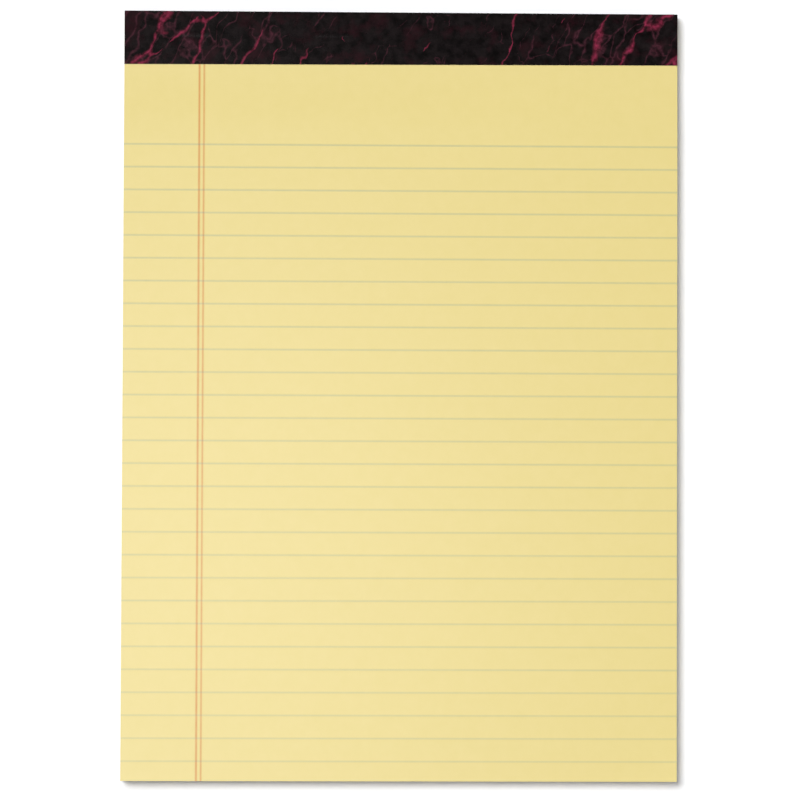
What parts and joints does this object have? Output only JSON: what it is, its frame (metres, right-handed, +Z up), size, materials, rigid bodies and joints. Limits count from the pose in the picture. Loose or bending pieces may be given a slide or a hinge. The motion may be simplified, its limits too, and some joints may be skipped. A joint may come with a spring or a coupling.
{
  "type": "legal pad",
  "caption": "Ruled yellow writing pad with a red double margin line, bound at the head by a folded dark strip over stapled, perforated sheets and a chipboard back.",
  "frame": {"origin": "middle of the footprint, on the surface that the pad lies on", "axes": "+Y along the pad towards the bound head, +Z up out of the writing side, +X to the right"},
  "size_m": [0.216, 0.2994, 0.0071],
  "materials": {
    "chipboard": "uncoated grey-brown chipboard with fibre flecks",
    "canary_paper": "uncoated writing paper, dyed canary yellow",
    "staple_wire": "galvanised flat wire",
    "printed_tape": "binding tape printed near-black with crimson marbling, satin",
    "blue_ink": "thin pale blue ink on yellow paper",
    "red_ink": "thin red ink on yellow paper"
  },
  "bodies": {
    "root": {"backing_board": "chipboard", "sheets": "canary_paper", "staples": "staple_wire", "binding_strip": "printed_tape", "blue_rules": "blue_ink", "margin_lines": "red_ink"}
  },
  "joints": []
}
